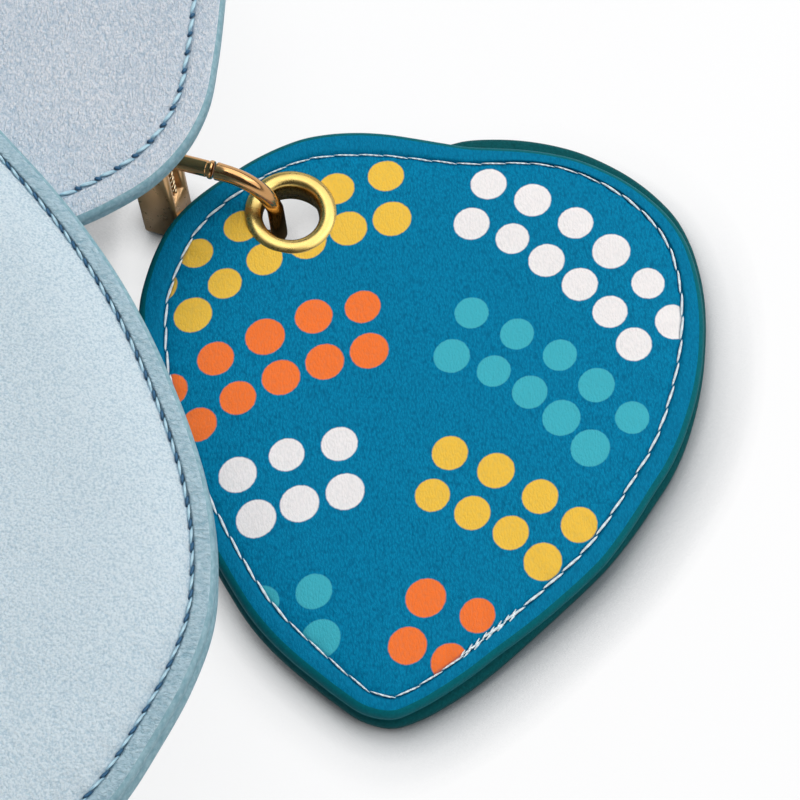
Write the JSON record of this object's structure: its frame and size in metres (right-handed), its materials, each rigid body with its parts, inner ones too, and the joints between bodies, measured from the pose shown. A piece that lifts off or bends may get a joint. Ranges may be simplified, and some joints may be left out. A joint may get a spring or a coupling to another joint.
{
  "type": "crossbody bag",
  "caption": "Small zipped crossbody bag with a butterfly front of padded, stitched leather wings, a leather strap, and a flat leather charm on a snap clasp.",
  "frame": {"origin": "middle of the pouch's back face, which lies on the table", "axes": "+X to the wearer's left, which is right as seen from the front; +Y to the top of the bag; +Z out of the front"},
  "size_m": [0.2577, 0.3738, 0.0427],
  "materials": {
    "pale_leather": "soft matt, coarse grain",
    "lavender_leather": "soft matt, coarse grain",
    "lining_fabric": "plain weave",
    "zip_tape": "woven tape",
    "charm_teal": "smooth printed leather with dots",
    "charm_edge": "dark turned edge",
    "yellow_gold": "polished yellow gold plating",
    "rosy_gold": "polished rosy gold plating",
    "spring_steel": "bright drawn wire"
  },
  "bodies": {
    "bag": {"body_panel": "lavender_leather", "charm_tab": "pale_leather", "lower_wing_back_left": "pale_leather", "lower_wing_back_right": "pale_leather", "lower_wing_front_left": "pale_leather", "lower_wing_front_right": "pale_leather", "pouch_back": "pale_leather", "pouch_front": "pale_leather", "pouch_gusset": "pale_leather", "pouch_lining": "lining_fabric", "strap_tab_left": "pale_leather", "strap_tab_right": "pale_leather", "upper_wing_left": "lavender_leather", "upper_wing_right": "lavender_leather", "zip_stop_left": "yellow_gold", "zip_stop_right": "yellow_gold", "zip_tape_back": "zip_tape", "zip_tape_front": "zip_tape", "zip_teeth_back": "yellow_gold", "zip_teeth_front": "yellow_gold"},
    "zip_slider": {"zip_slider": "yellow_gold"},
    "zip_pull": {"zip_pull": "yellow_gold"},
    "strap": {"strap": "pale_leather", "strap_ring_left": "yellow_gold", "strap_ring_right": "yellow_gold", "strap_rivet_left": "yellow_gold", "strap_rivet_right": "yellow_gold"},
    "charm_ring": {"charm_ring": "rosy_gold"},
    "clasp_eye": {"clasp_eye": "rosy_gold"},
    "clasp": {"clasp_block": "rosy_gold", "clasp_hook": "rosy_gold", "clasp_gate_pin": "spring_steel", "clasp_spring": "spring_steel"},
    "clasp_gate": {"clasp_gate": "rosy_gold"},
    "charm": {"charm_front": "charm_teal", "charm_back": "charm_edge", "charm_eyelet": "yellow_gold", "charm_eyelet_washer": "yellow_gold"}
  },
  "joints": [
    {"name": "zip_slide", "type": "slide", "parent": "bag", "child": "zip_slider", "axis": [-1, 0, 0], "range_m": [0, 0.063]},
    {"name": "zip_pull_swing", "type": "hinge", "parent": "zip_slider", "child": "zip_pull", "pos_m": [0.0315, 0.0549, 0.0143], "axis": [0, 0, -1], "range_deg": [0, 160]},
    {"name": "strap_swing", "type": "hinge", "parent": "bag", "child": "strap", "pos_m": [0, 0.054, 0.0103], "axis": [1, 0, 0], "range_deg": [-60, 12]},
    {"name": "charm_ring_swing", "type": "hinge", "parent": "bag", "child": "charm_ring", "pos_m": [0.0684, 0.03036, 0.009], "axis": [0, 0, 1], "range_deg": [-8, 45]},
    {"name": "clasp_eye_lift", "type": "hinge", "parent": "charm_ring", "child": "clasp_eye", "pos_m": [0.0759, 0.03036, 0.009], "axis": [0, -1, 0], "range_deg": [0, 15]},
    {"name": "clasp_swivel", "type": "hinge", "parent": "clasp_eye", "child": "clasp", "pos_m": [0.07959, 0.02905, 0.00923], "axis": [-0.9535, 0.297, -0.0523], "range_deg": [0, 15]},
    {"name": "clasp_gate_open", "type": "hinge", "parent": "clasp", "child": "clasp_gate", "pos_m": [0.08204, 0.02877, 0.0166], "axis": [0.2999, 0.9519, -0.0627], "range_deg": [0, 9], "stiffness_Nm_per_rad": 0.02, "springref_deg": -22.92},
    {"name": "charm_turn", "type": "hinge", "parent": "clasp", "child": "charm", "pos_m": [0.09818, 0.02308, 0.00745], "axis": [0, 0, 1], "range_deg": [0, 50]}
  ]
}
